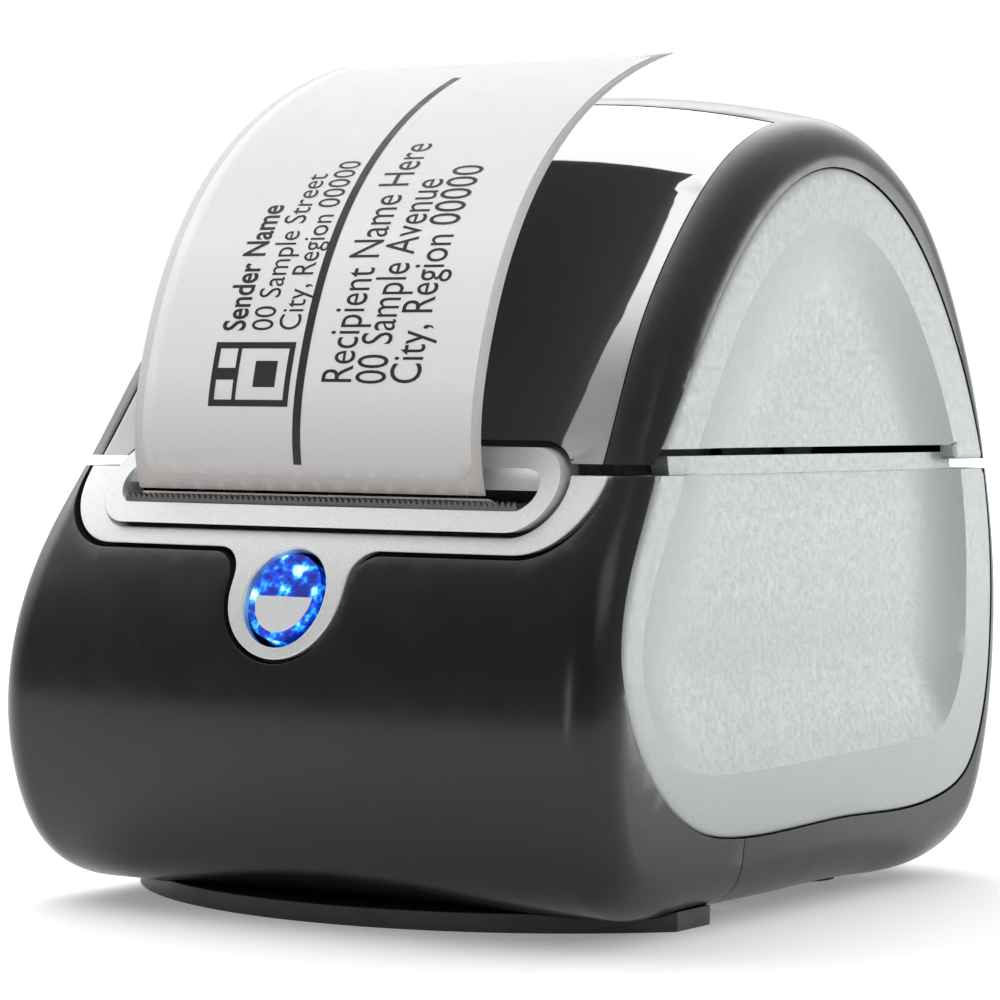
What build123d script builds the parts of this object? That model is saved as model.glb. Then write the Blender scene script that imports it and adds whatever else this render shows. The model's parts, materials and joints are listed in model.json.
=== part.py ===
from build123d import *
import math
import os

# Desktop thermal label printer.  Millimetres, +Z up, front towards -Y, right side towards +X.
# The origin is on the table under the middle of the printer.

# ---- driving dimensions: outer form -------------------------------------------------------
WALL = 3.6             # skin of the front, top and back
SIDE_WALL = 7.0        # skin of the two flanks, which hold the silver panels
EDGE_R = 8.5           # rounding between the flanks and the wrap-round skin
FLOOR_Z = 2.4          # underside of the body, above the table
FRONT_BOW = 2.5        # how far the skin swells forward at mid width
BACK_BOW = 2.7
TOP_BOW = 6.4
BOW_HALF = 50.0        # the swelling has died out at this distance from mid width
BASE_TOP = 73.4        # top edge of the base
COVER_BOTTOM = 75.2    # bottom edge of the cover
REVEAL = 0.25          # gap round each inset panel

# Side profile of the skin beside the flank, as (Y, Z), clockwise from the front toe.
SIDE_PROFILE = [
    (-62, 5.0), (-70.4, 11.6), (-74.9, 21.5), (-76.6, 34), (-74.3, 48.2), (-67.5, 62.5),
    (-57.3, 76.5), (-43.6, 95.7), (-27, 112.2), (-8, 125.4), (8, 131.4), (24, 133.5),
    (41.6, 129.9), (57, 120.5), (68.6, 101.8), (74.0, 82), (75.2, 63), (73.4, 42),
    (69.6, 21.5), (63.6, 8.6), (50, 2.8), (22, FLOOR_Z), (-8, FLOOR_Z), (-38, FLOOR_Z),
]
# Half width of the flanks against height, as (X, Z): they lean inwards above the belly.
FLANK = [
    (56.5, -6), (58, 8), (59.3, 24), (59.4, 40), (58.4, 56),
    (56.4, 73), (54.4, 90), (52.4, 107), (50.4, 125), (48.2, 146),
]

# ---- driving dimensions: flank panels ------------------------------------------------------
PANEL_T = 4.5
DISH_DEPTH = 2.6
SEAM_Y = -27.0         # joint between the front and the rear shell
LIP_INSET = 3.0
LIP_T = 3.2
LIP_TOP = 76.4

# ---- driving dimensions: front ---------------------------------------------------------------
PLATE_HALF = 50.9      # faceplate
PLATE_LOW = 60.9
PLATE_CORNER = 11.5
PLATE_T = 1.9
TONGUE_R = 11.0
BUTTON_Z = 53.6
BUTTON_A = 7.4         # button half width
BUTTON_B = 8.2         # button half height along the sloping front
BUTTON_LEAN = 25.5     # the front leans back this much at the button, degrees
RING_HALF = 44.0       # raised ring round the label slot
RING_LOW = 64.4
RING_HIGH = 77.7
RING_RIM = 3.3
RING_PROUD = 1.0
GROOVE = 0.9
TOOTH_PITCH = 1.1
TEAR_Y = -66.0         # front face of the tear bar
TEAR_LOW = 65.4
TEAR_TOP = 69.2
WINDOW_SIDE = 6.5      # window edge in from the flank
WINDOW_T = 1.8
WINDOW_BACK = 10.0     # Y of the window's top edge

# ---- driving dimensions: label stock -----------------------------------------------------------
LABEL_LEFT = -36.2
LABEL_RIGHT = 32.1
LINER_T = 0.3
LABEL_T = 0.25
LABEL_CURL = [(-64.6, 69.4), (-66.5, 79.5), (-64.4, 92), (-58.9, 106), (-49, 120.5),
              (-34, 132.9), (-20, 139.9), (-6, 144.4)]
ROLL_Y, ROLL_Z = 14.0, 94.0
ROLL_R = 35.0
CORE_R = 13.4
HUB_R = 12.0
PIN_R = 3.0
RUN = 0.05             # radial running clearance

# ---- driving dimensions: print mechanism -------------------------------------------------------
CHASSIS_X = 41.0       # inner face of each chassis plate
CHASSIS_T = 1.5
PLATEN_Y, PLATEN_Z = -54.0, 58.0
PLATEN_R = 5.0
SHAFT_R = 2.0
MODULE = 0.6
PLATEN_TEETH, IDLER_TEETH, PINION_TEETH = 24, 30, 12
MESH_PLAY = 0.04       # added to each gear distance
IDLER_ANGLE = math.radians(-53.3)
IDLER_GAP = MODULE * (PLATEN_TEETH + IDLER_TEETH) / 2 + MESH_PLAY
IDLER_Y = PLATEN_Y + IDLER_GAP * math.cos(IDLER_ANGLE)
IDLER_Z = PLATEN_Z + IDLER_GAP * math.sin(IDLER_ANGLE)
MOTOR_Y = IDLER_Y
MOTOR_Z = IDLER_Z - MODULE * (IDLER_TEETH + PINION_TEETH) / 2 - MESH_PLAY
MOTOR_R = 13.0
GEAR_X, GEAR_W = 43.6, 3.4
HEAD_PIVOT_Y, HEAD_PIVOT_Z = -36.0, 67.0
PIVOT_R = 1.5

# ---- driving dimensions: hinge, board and sockets ---------------------------------------------
HINGE_Y, HINGE_Z = 77.0, 74.3
HINGE_R = 2.0
HINGE_PIN_R = 0.9
BOARD_TOP = 13.6
BOARD_T = 1.6
USB_X, JACK_X = 22.0, -20.0
SOCKET_LOW = 16.0


# ---- outer form --------------------------------------------------------------------------------
def inset_points(points, inset):
    """Move each point of a closed outline inwards, square to the line between its neighbours."""
    moved = []
    for i, (y, z) in enumerate(points):
        ya, za = points[i - 1]
        yb, zb = points[(i + 1) % len(points)]
        length = math.hypot(yb - ya, zb - za)
        moved.append((y + inset * (zb - za) / length, z - inset * (yb - ya) / length))
    return moved


def section(x, inset):
    """Closed side profile at one place across the width."""
    swell = 1 - (x / BOW_HALF) ** 2
    points = []
    for y, z in SIDE_PROFILE:
        out = y / 75.0
        up = max(0.0, (z - 62.0) / 72.0)
        bow = FRONT_BOW if out < 0 else BACK_BOW
        points.append((y + swell * bow * out * min(1.0, z / 20.0), z + swell * TOP_BOW * up * up))
    places = [Vector(x, y, z) for y, z in inset_points(points, inset)]
    return Wire([Edge.make_spline(places, periodic=True)])


def flank_prism(inset):
    """Everything between the two leaning flanks."""
    right = [Vector(x - inset, -100, z) for x, z in FLANK]
    left = [Vector(-p.X, -100, p.Z) for p in reversed(right)]
    edges = [Edge.make_spline(right), Edge.make_line(right[-1], left[0])]
    edges += [Edge.make_spline(left), Edge.make_line(left[-1], right[0])]
    return extrude(Face(Wire(edges)), amount=200, dir=(0, 1, 0))


def envelope(inset=0.0, side=None, edge_r=EDGE_R):
    """Whole outer form, or the same form drawn in by inset (skin) and side (flanks)."""
    side = inset if side is None else side
    body = Solid.make_loft([section(x, inset) for x in (64, 32, 0, -32, -64)])
    body = (body & flank_prism(side)).solids()[0]
    loops = [e for e in body.edges() if abs(e.center().X) > 40 and e.bounding_box().size.X < 30]
    return body.fillet(edge_r, loops)


def block(x0, x1, y0, y1, z0, z1):
    return Pos((x0 + x1) / 2, (y0 + y1) / 2, (z0 + z1) / 2) * Box(x1 - x0, y1 - y0, z1 - z0)


def rod_x(x0, x1, y, z, r):
    return Pos((x0 + x1) / 2, y, z) * Rot(0, 90, 0) * Cylinder(r, x1 - x0)


def rod_z(x, y, z0, z1, r):
    return Pos(x, y, (z0 + z1) / 2) * Cylinder(r, z1 - z0)


def front_prism(sketch, y0, y1):
    """Extrude a sketch drawn in X and Z along Y."""
    plane = Plane(origin=(0, y0, 0), x_dir=(1, 0, 0), z_dir=(0, -1, 0))
    return extrude(plane * sketch, amount=y1 - y0, dir=(0, 1, 0))


def side_prism(points, x0, x1):
    """Extrude an open outline of (Y, Z) points along X, closed by a straight line."""
    curve = [Vector(x0, y, z) for y, z in points]
    spline = Edge.make_spline(curve)
    return extrude(Face(Wire([spline, Edge.make_line(curve[-1], curve[0])])), amount=x1 - x0, dir=(1, 0, 0))


def below(z):
    return block(-80, 80, -100, 100, -20, z)


def above(z):
    return block(-80, 80, -100, 100, z, 180)


def solid(shape):
    return shape.solids()[0]


# ---- outlines ----------------------------------------------------------------------------------
def stadium(half, low, high):
    return Pos(0, (low + high) / 2) * SlotOverall(2 * half, high - low)


def faceplate_outline(grow=0.0):
    half = PLATE_HALF + grow
    low = PLATE_LOW - grow
    high = BASE_TOP + 5
    bar = Pos(0, (low + high) / 2) * Rectangle(2 * half, high - low)
    corners = bar.vertices().sort_by(Axis.Y)[:2]
    bar = fillet(corners, PLATE_CORNER)
    neck_r = TONGUE_R + grow
    neck = Pos(0, (BUTTON_Z + 0.8 + low + 3) / 2) * Rectangle(2 * neck_r, low + 3 - BUTTON_Z - 0.8)
    shape = bar + neck + Pos(0, BUTTON_Z + 0.8) * Circle(neck_r)
    inner = [v for v in shape.vertices() if abs(abs(v.X) - neck_r) < 0.01 and abs(v.Y - low) < 0.01]
    return fillet(inner, 4.5)


def window_prism(shrink, low):
    """Window opening: in from the flanks, above low, in front of the crown."""
    width = flank_prism(WINDOW_SIDE + shrink)
    return width & block(-60, 60, -100, WINDOW_BACK - shrink, low + shrink, 150)


UPPER_PANEL = [(-54.0, 73.2), (-43, 85.2), (-31.5, 97.4), (-12.6, 113.6), (3, 122.2), (18.5, 125.8),
               (34, 123.6), (48.3, 115.3), (58.8, 101.8), (65.6, 86), (68.5, 73.2)]
UPPER_DISH = [(-43.0, 73.2), (-28.3, 90.2), (-10.6, 106.2), (6, 114.6), (20.8, 116.5), (34.7, 111.9),
              (46.4, 100.4), (53.6, 87), (57.4, 73.2)]
LOWER_PANEL = [(-51.4, 75.4), (-60.4, 62.6), (-66.4, 52), (-67.9, 44.5), (-65.8, 36), (-60.2, 27.8),
               (-52, 21), (-42, 16.4), (-30, 14.5), (10, 14.6), (47, 15.4), (56.4, 19),
               (61.8, 27.5), (65.4, 43), (67.6, 58), (68.3, 75.4)]
LOWER_DISH = [(-43.2, 75.4), (-53.4, 61.6), (-59.6, 52.6), (-62, 44), (-59.6, 36), (-53.6, 30),
              (-46, 26.4), (-36, 25.2), (0, 25.4), (36, 26.2), (46.6, 28.6), (52.4, 36),
              (55.9, 50.5), (57.6, 62), (58.2, 75.4)]


def grown(points, amount):
    """Open outline moved outwards by amount; every outline starts at the front."""
    moved = []
    last = len(points) - 1
    upper = points[len(points) // 2][1] > points[0][1]
    sense = 1 if upper else -1
    for i, (y, z) in enumerate(points):
        ya, za = points[max(0, i - 1)]
        yb, zb = points[min(last, i + 1)]
        length = math.hypot(yb - ya, zb - za)
        moved.append((y - sense * amount * (zb - za) / length, z + sense * amount * (yb - ya) / length))
    return moved


# ---- flank parts -------------------------------------------------------------------------------
def flank_panel(outer, points, dish, sign):
    """Silver panel of one flank: a slab flush with the flank, with a dished middle."""
    x0, x1 = (40, 70) if sign > 0 else (-70, -40)
    slab = (outer & side_prism(points, x0, x1)) - flank_prism(PANEL_T)
    hollow = side_prism(dish, x0, x1) - flank_prism(DISH_DEPTH)
    slab = slab - hollow
    return slab


def panel_pocket(points):
    """Room for a panel in both flanks."""
    both = side_prism(points, 40, 70) + side_prism(points, -70, -40)
    return both - flank_prism(PANEL_T + 0.1)


def gap_lip(sign):
    """Silver strip that stands on the base and closes the joint under the cover's flank."""
    band = flank_prism(LIP_INSET) - flank_prism(LIP_INSET + LIP_T)
    keep = block(40, 60, -44, 60, BASE_TOP, LIP_TOP)
    if sign < 0:
        keep = block(-60, -40, -44, 60, BASE_TOP, LIP_TOP)
    return band & keep


# ---- shells ------------------------------------------------------------------------------------
def base_shell(outer, cavity):
    shell = (outer - cavity) & below(BASE_TOP)
    shell = shell - panel_pocket(grown(LOWER_PANEL, REVEAL))
    return shell


def front_shell(base, skin):
    shell = base & block(-80, 80, -100, SEAM_Y - 0.1, -20, BASE_TOP)
    pocket = front_prism(faceplate_outline(REVEAL + 0.5), -95, -45) - skin
    shell = shell - pocket
    shell = shell - front_prism(stadium(RING_HALF + 0.1, RING_LOW - 0.1, RING_HIGH + 0.1), -95, -40)
    shell = shell - button_axis_prism(BUTTON_A + 0.35, BUTTON_B + 0.35, -12, 6)
    return solid(shell)


def rear_shell(base):
    shell = base & block(-80, 80, SEAM_Y + 0.1, 100, -20, BASE_TOP)
    for x, half in ((USB_X, 6.4), (JACK_X, 5.0)):
        shell = shell - block(x - half, x + half, 50, 90, SOCKET_LOW - 2.8, SOCKET_LOW + 11.4)
    for x in (-26, 26):
        shell = shell - rod_x(x - 10.2, x + 10.2, HINGE_Y, HINGE_Z, HINGE_R + 0.4)
    return solid(shell - hinge_eyes(0, 2.9, False))


def button_plane(depth=0.0):
    """Plane square to the sloping front at the button, depth below the surface."""
    lean = math.radians(BUTTON_LEAN)
    normal = Vector(0, -math.cos(lean), math.sin(lean))
    centre = Vector(0, -74.9, BUTTON_Z) - normal * depth
    return Plane(origin=centre, x_dir=(1, 0, 0), z_dir=normal)


def button_axis_prism(a, b, d0, d1):
    """Oval prism along the button's travel, from d0 below to d1 above the surface."""
    return extrude(button_plane(-d0) * Ellipse(a, b), amount=d1 - d0)


def faceplate(skin_out, skin_in):
    plate = (skin_out - skin_in) & front_prism(faceplate_outline(), -95, -45) & below(BASE_TOP)
    plate = plate - front_prism(stadium(RING_HALF + GROOVE, RING_LOW - GROOVE, RING_HIGH + GROOVE), -95, -40)
    plate = plate - button_axis_prism(BUTTON_A + 0.3, BUTTON_B + 0.3, -12, 6)
    return solid(plate)


def slot_ring(proud, cavity):
    hole = stadium(RING_HALF - RING_RIM, RING_LOW + RING_RIM, RING_HIGH - RING_RIM)
    outline = stadium(RING_HALF, RING_LOW, RING_HIGH)
    ring = (proud - cavity) & front_prism(outline, -95, -40)
    half = RING_HALF - RING_RIM - 2.2
    slot = block(-half, half, TEAR_Y, TEAR_Y + 0.5, TEAR_LOW, TEAR_TOP)
    return solid(ring - front_prism(hole, -95, -40) - slot)


def slot_deflector(cavity):
    """Curved silver guide in the upper half of the ring."""
    outline = stadium(RING_HALF - RING_RIM, RING_LOW + RING_RIM, RING_HIGH - RING_RIM)
    body = front_prism(outline, -70, -56.2) & block(-60, 60, -70, -50, 70.9, 80)
    body = body - rod_x(-60, 60, -66.4, 73.4, 5.2) - block(-60, 60, -90, -66.4, 60, 90)
    return solid(body)


def tear_bar():
    """Serrated steel strip let into the lower edge of the slot."""
    half = RING_HALF - RING_RIM - 2.2
    outline = []
    count = int(2 * half / TOOTH_PITCH)
    for i in range(count):
        x = -half + TOOTH_PITCH * i
        outline += [(x, TEAR_TOP - 0.9), (x + TOOTH_PITCH / 2, TEAR_TOP)]
    outline += [(half, TEAR_TOP - 0.9), (half, TEAR_LOW), (-half, TEAR_LOW)]
    return solid(front_prism(Polygon(*outline, align=None), TEAR_Y, TEAR_Y + 0.5))


# ---- cover ---------------------------------------------------------------------------------------
def cover_frame(outer, cavity, window_skin):
    shell = (outer - cavity) & above(COVER_BOTTOM)
    shell = shell - front_prism(stadium(RING_HALF + 1.1, RING_LOW - 1.1, RING_HIGH + 1.1), -95, -40)
    shell = shell - panel_pocket(grown(UPPER_PANEL, REVEAL))
    pocket = window_prism(0, 60) & block(-60, 60, -100, 60, 60, 150)
    shell = shell - (pocket - window_skin)
    shell = shell - (window_prism(2.6, 79.2) & block(-60, 60, -100, 60, 60, 150))
    rebate = flank_prism(LIP_INSET - 0.5) & block(-60, 60, -47, 63, COVER_BOTTOM - 1, LIP_TOP + 1.2)
    shell = shell - rebate
    for x in (-26, 26):
        shell = shell - rod_x(x - 10.2, x + 10.2, HINGE_Y, HINGE_Z, HINGE_R + 0.4)
    shell = shell - hinge_eyes(3.2, 9, True) - latch_hook(1) - latch_hook(-1)
    return solid(shell)


def cover_window(skin_out, skin_in):
    pane = (skin_out - skin_in) & window_prism(REVEAL, COVER_BOTTOM - REVEAL)
    pane = pane - front_prism(stadium(RING_HALF + 1.1, RING_LOW - 1.1, RING_HIGH + 1.1), -95, -40)
    return solid(pane)


def hinge_leaf(x, inner_half, outer_half, up):
    """One hinge knuckle set: an eye round the pin and a tail that runs into the shell."""
    spans = [(x - outer_half, x - inner_half), (x + inner_half, x + outer_half)] if inner_half else []
    spans = spans or [(x - outer_half, x + outer_half)]
    parts = []
    for x0, x1 in spans:
        z0, z1 = (HINGE_Z, HINGE_Z + 7) if up else (HINGE_Z - 7, HINGE_Z)
        eye = rod_x(x0, x1, HINGE_Y, HINGE_Z, HINGE_R) + block(x0, x1, HINGE_Y - HINGE_R, HINGE_Y, z0, z1)
        parts.append(eye - rod_x(x0 - 1, x1 + 1, HINGE_Y, HINGE_Z, HINGE_PIN_R + RUN))
    return parts


def hinge_eyes(inner_half, outer_half, up):
    return sum_of([p for x in (-26, 26) for p in hinge_leaf(x, inner_half, outer_half, up)])


def spool_cradle(sign):
    """Bracket inside the cover that carries one end of the spool."""
    x0, x1 = (44.0, 60.0) if sign > 0 else (-60.0, -44.0)
    arm = block(x0, x1, ROLL_Y - 7, ROLL_Y + 7, ROLL_Z - 7, ROLL_Z + 7)
    arm = arm & flank_prism(SIDE_WALL)
    return solid(arm - rod_x(-60, 60, ROLL_Y, ROLL_Z, PIN_R + RUN))


def latch_hook(sign):
    """Hook under the front corner of the cover."""
    x0, x1 = (45.6, 48.0) if sign > 0 else (-48.0, -45.6)
    tongue = block(x0, x1, -52.0, -49.0, 68.5, 78.4)
    nose = block(x0, x1, -53.6, -52.0, 68.5, 70.5)
    return solid(tongue + nose)


# ---- spool -----------------------------------------------------------------------------------------
def spool_spindle():
    flange = rod_x(LABEL_LEFT - 2.2, LABEL_LEFT - 0.2, ROLL_Y, ROLL_Z, ROLL_R - 2)
    holes = []
    for i in range(6):
        a = math.radians(60 * i)
        holes.append(rod_x(-60, -20, ROLL_Y + 23 * math.cos(a), ROLL_Z + 23 * math.sin(a), 6))
    hub = rod_x(LABEL_LEFT - 0.2, 40, ROLL_Y, ROLL_Z, HUB_R)
    ends = rod_x(-46.4, 46.4, ROLL_Y, ROLL_Z, PIN_R)
    return solid(flange - holes + hub + ends + rod_x(-43.4, 43.4, ROLL_Y, ROLL_Z, 4.6))


def spool_guide_disc():
    disc = rod_x(LABEL_RIGHT + 0.3, LABEL_RIGHT + 2.3, ROLL_Y, ROLL_Z, ROLL_R - 2)
    for i in range(6):
        a = math.radians(60 * i)
        disc = disc - rod_x(20, 60, ROLL_Y + 23 * math.cos(a), ROLL_Z + 23 * math.sin(a), 6)
    return solid(disc - rod_x(20, 60, ROLL_Y, ROLL_Z, HUB_R))


def roll_core():
    tube = rod_x(LABEL_LEFT, LABEL_RIGHT, ROLL_Y, ROLL_Z, CORE_R)
    return solid(tube - rod_x(-60, 60, ROLL_Y, ROLL_Z, HUB_R))


def label_roll():
    roll = rod_x(LABEL_LEFT, LABEL_RIGHT, ROLL_Y, ROLL_Z, ROLL_R)
    return solid(roll - rod_x(-60, 60, ROLL_Y, ROLL_Z, CORE_R))


# ---- label web -------------------------------------------------------------------------------------
def strip_along(points, x0, x1, t, offset=0.0):
    """Thin web that follows a curve of (Y, Z) points, offset towards its outer face."""
    faces = []
    for shift in (offset, offset + t):
        moved = []
        for i, (y, z) in enumerate(points):
            ya, za = points[max(0, i - 1)]
            yb, zb = points[min(len(points) - 1, i + 1)]
            length = math.hypot(yb - ya, zb - za)
            moved.append(Vector(x0, y - shift * (zb - za) / length, z + shift * (yb - ya) / length))
        faces.append(moved)
    inner, outer = faces
    edges = [Edge.make_spline(inner), Edge.make_line(inner[-1], outer[-1])]
    edges += [Edge.make_spline(list(reversed(outer))), Edge.make_line(outer[0], inner[0])]
    return solid(extrude(Face(Wire(edges)), amount=x1 - x0, dir=(1, 0, 0)))


def label_liner():
    return strip_along(LABEL_CURL, LABEL_LEFT, LABEL_RIGHT, LINER_T)


def label_sticker():
    return strip_along(LABEL_CURL, LABEL_LEFT + 1.6, LABEL_RIGHT - 1.6, LABEL_T, LINER_T)


def web_path():
    """From the slot, over the platen and back to the underside of the roll."""
    top = PLATEN_Z + PLATEN_R + 0.1
    return [(-64.3, 69.2), (-62.6, 68.7), (-60.4, 66.8), (-58.0, 63.8), (PLATEN_Y, top),
            (-44, top - 0.8), (-18, 59.2), (2, 60.2)]


def feed_web():
    return strip_along(list(reversed(web_path())), LABEL_LEFT, LABEL_RIGHT, -LINER_T)


# ---- print mechanism ---------------------------------------------------------------------------------
def chassis_plate(sign):
    x0, x1 = (CHASSIS_X, CHASSIS_X + CHASSIS_T) if sign > 0 else (-CHASSIS_X - CHASSIS_T, -CHASSIS_X)
    outline = Polygon((-60, 62), (-60, 50), (-63, 40), (-63, 14), (-30, 14), (-30, 58), (-33, 70),
                      (-40, 70), (-45, 62), align=None)
    plate = extrude(Plane(origin=(x0, 0, 0), x_dir=(0, 1, 0), z_dir=(1, 0, 0)) * outline,
                    amount=x1 - x0, dir=(1, 0, 0))
    plate = plate - rod_x(-60, 60, PLATEN_Y, PLATEN_Z, 3.4)
    plate = plate - rod_x(-60, 60, HEAD_PIVOT_Y, HEAD_PIVOT_Z, PIVOT_R + RUN)
    if sign > 0:
        plate = plate - rod_x(-60, 60, IDLER_Y, IDLER_Z, 1.5)
        plate = plate - rod_x(-60, 60, MOTOR_Y, MOTOR_Z, 4.0)
    return solid(plate)


def chassis_floor(cavity):
    """Cross member that ties the two plates together and stands on the front shell's floor."""
    bar = block(-CHASSIS_X, CHASSIS_X, -62, -31, 14, 15.6)
    front = block(-CHASSIS_X, CHASSIS_X, -62, -60.6, 15.6, 24)
    posts = [block(x - 4, x + 4, -58, -50, 3, 14) & cavity for x in (-34, 34)]
    posts += [block(x - 4, x + 4, -40, -32, 3, 14) & cavity for x in (-34, 34)]
    return solid(bar + front + posts)


def platen_bearings():
    pair = []
    for x0, x1 in ((CHASSIS_X - 0.4, CHASSIS_X + 1.9), (-CHASSIS_X - 1.9, -CHASSIS_X + 0.4)):
        ring = rod_x(x0, x1, PLATEN_Y, PLATEN_Z, 3.4) - rod_x(-60, 60, PLATEN_Y, PLATEN_Z, SHAFT_R + RUN)
        pair.append(ring)
    return pair[0] + pair[1]


def platen_shaft():
    return solid(rod_x(-44.6, GEAR_X + GEAR_W + 0.4, PLATEN_Y, PLATEN_Z, SHAFT_R))


def platen_rubber():
    sleeve = rod_x(-38.6, 38.6, PLATEN_Y, PLATEN_Z, PLATEN_R)
    return solid(sleeve - rod_x(-60, 60, PLATEN_Y, PLATEN_Z, SHAFT_R))


def gear(teeth, y, z, bore, phase):
    """Straight gear on an X axis; phase is the angle of one tooth from +Y towards +Z."""
    pitch_r = MODULE * teeth / 2
    tip_r = pitch_r + 0.88 * MODULE
    root_r = pitch_r - 1.2 * MODULE
    points = []
    step = 2 * math.pi / teeth
    for i in range(teeth):
        a = math.radians(phase) + i * step
        for r, frac in ((root_r, -0.31), (pitch_r, -0.235), (tip_r, -0.12),
                        (tip_r, 0.12), (pitch_r, 0.235), (root_r, 0.31)):
            points.append((r * math.cos(a + frac * step), r * math.sin(a + frac * step)))
    plane = Plane(origin=(GEAR_X, y, z), x_dir=(0, 1, 0), z_dir=(1, 0, 0))
    wheel = extrude(plane * (Polygon(*points, align=None) - Circle(bore)), amount=GEAR_W)
    return solid(wheel)


def bearing_angle(y0, z0, y1, z1):
    return math.degrees(math.atan2(z1 - z0, y1 - y0))


def platen_gear():
    toward = bearing_angle(PLATEN_Y, PLATEN_Z, IDLER_Y, IDLER_Z)
    return gear(PLATEN_TEETH, PLATEN_Y, PLATEN_Z, SHAFT_R, toward)


def idler_gear():
    toward = bearing_angle(IDLER_Y, IDLER_Z, PLATEN_Y, PLATEN_Z)
    return gear(IDLER_TEETH, IDLER_Y, IDLER_Z, 1.5 + RUN, toward + 180.0 / IDLER_TEETH)


def idler_phase_at(angle):
    """Where the angle falls within the idler's tooth spacing, from 0 to 1."""
    toward = bearing_angle(IDLER_Y, IDLER_Z, PLATEN_Y, PLATEN_Z) + 180.0 / IDLER_TEETH
    return ((angle - toward) * IDLER_TEETH / 360.0) % 1.0


def motor_pinion():
    out = bearing_angle(IDLER_Y, IDLER_Z, MOTOR_Y, MOTOR_Z)
    back = bearing_angle(MOTOR_Y, MOTOR_Z, IDLER_Y, IDLER_Z)
    share = idler_phase_at(out)
    return gear(PINION_TEETH, MOTOR_Y, MOTOR_Z, 1.0, back + (share + 0.5) * 360.0 / PINION_TEETH)


def idler_pin():
    pin = rod_x(CHASSIS_X, GEAR_X + GEAR_W + 0.3, IDLER_Y, IDLER_Z, 1.5)
    return solid(pin + rod_x(GEAR_X + GEAR_W + 0.3, GEAR_X + GEAR_W + 1.1, IDLER_Y, IDLER_Z, 2.4))


def motor_can():
    can = rod_x(CHASSIS_X - 19, CHASSIS_X, MOTOR_Y, MOTOR_Z, MOTOR_R)
    can = can + rod_x(CHASSIS_X - 20.5, CHASSIS_X - 19, MOTOR_Y, MOTOR_Z, 5)
    return solid(can - rod_x(CHASSIS_X - 18, CHASSIS_X + 1, MOTOR_Y, MOTOR_Z, 1.0 + RUN))


def motor_shaft():
    return solid(rod_x(CHASSIS_X - 17.8, GEAR_X + GEAR_W + 0.4, MOTOR_Y, MOTOR_Z, 1.0))


def head_heatsink():
    """Finned aluminium carrier of the print head, hung on its pivot behind the platen."""
    low = PLATEN_Z + PLATEN_R + 1.1
    body = block(-37, 37, -55.2, -38.4, low, low + 1.8)
    fins = [block(-37, 37, y, y + 1.2, low + 1.8, low + 4.2) for y in (-52, -48.4, -44.8, -41.2)]
    arms = [block(x, x + 2, -39, HEAD_PIVOT_Y + 2.4, low, HEAD_PIVOT_Z + 2.4) for x in (-37, 35)]
    head = body + fins + arms
    return solid(head - rod_x(-60, 60, HEAD_PIVOT_Y, HEAD_PIVOT_Z, PIVOT_R))


def head_ceramic():
    low = PLATEN_Z + PLATEN_R + 0.5
    return solid(block(-35, 35, PLATEN_Y - 1.2, PLATEN_Y + 5, low, low + 0.6))


def head_shaft():
    return solid(rod_x(-45.4, 45.4, HEAD_PIVOT_Y, HEAD_PIVOT_Z, PIVOT_R))


def release_lever():
    """Blue lever on the left end of the head shaft."""
    boss = rod_x(-47.4, -43.6, HEAD_PIVOT_Y, HEAD_PIVOT_Z, 3.2)
    arm = block(-47.4, -45.4, HEAD_PIVOT_Y - 1.6, HEAD_PIVOT_Y + 12, HEAD_PIVOT_Z - 1.6, HEAD_PIVOT_Z + 1.6)
    tab = block(-47.4, -43.6, HEAD_PIVOT_Y + 9, HEAD_PIVOT_Y + 13, HEAD_PIVOT_Z - 1.6, HEAD_PIVOT_Z + 1.6)
    return solid(boss + arm + tab - rod_x(-60, -43, HEAD_PIVOT_Y, HEAD_PIVOT_Z, PIVOT_R))


def guide_rail():
    return solid(rod_x(-CHASSIS_X, CHASSIS_X, -33.0, 55.6, 1.5))


def label_guide():
    """Sliding edge guide on the rail behind the platen."""
    eye = rod_x(32.7, 36.4, -33.0, 55.6, 3.0)
    wall = block(32.7, 34.1, -36, -30.4, 56, 63.6)
    return solid(eye + wall - rod_x(20, 60, -33.0, 55.6, 1.5 + RUN))


def gap_sensor():
    """Fork that looks for the gap between labels, over and under the web."""
    arm = block(-8, -2, -30.2, -25.6, 50, 57.5)
    foot = block(-12, 2, -31.5, -25.6, 48, 50)
    post = block(-7, -3, -30.2, -26.6, 15.0, 48)
    return solid(arm + foot + post)


# ---- button ---------------------------------------------------------------------------------------
def button_lens():
    """Clear oval ring and upper half of the feed button."""
    lens = button_axis_prism(BUTTON_A - 0.7, BUTTON_B - 0.7, -6.0, -0.6)
    cap = button_cap_prism(-3.4, 1)
    return solid(lens - cap)


def button_cap_prism(d0, d1):
    plane = button_plane(-d0)
    half = Ellipse(BUTTON_A - 2.0, BUTTON_B - 2.0) & Pos(0, -6) * Rectangle(20, 12)
    return extrude(plane * half, amount=d1 - d0)


def button_cap():
    return solid(button_cap_prism(-3.4, -0.5))


def button_switch():
    plane = button_plane(8.6)
    body = extrude(plane * Rectangle(6, 6), amount=-3.4)
    stem = extrude(plane * Circle(1.6), amount=0.8)
    board = extrude(button_plane(12.0) * Rectangle(24, 14), amount=-1.2)
    return solid(body + stem + board)


def status_led():
    return solid(extrude(button_plane(12.0) * Pos(8, 0) * Circle(1.5), amount=3.0))


# ---- feet, board and sockets ---------------------------------------------------------------------
def pedestal_foot(outer):
    """Low plinth under the front, with a front edge that is an arc in plan."""
    arc = make_face([ThreePointArc((-54, -41), (0, -66), (54, -41)).edge(),
                     Line((54, -41), (54, -30)).edge(), Line((54, -30), (-54, -30)).edge(),
                     Line((-54, -30), (-54, -41)).edge()])
    return solid(extrude(arc, amount=3.2) - outer)


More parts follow.
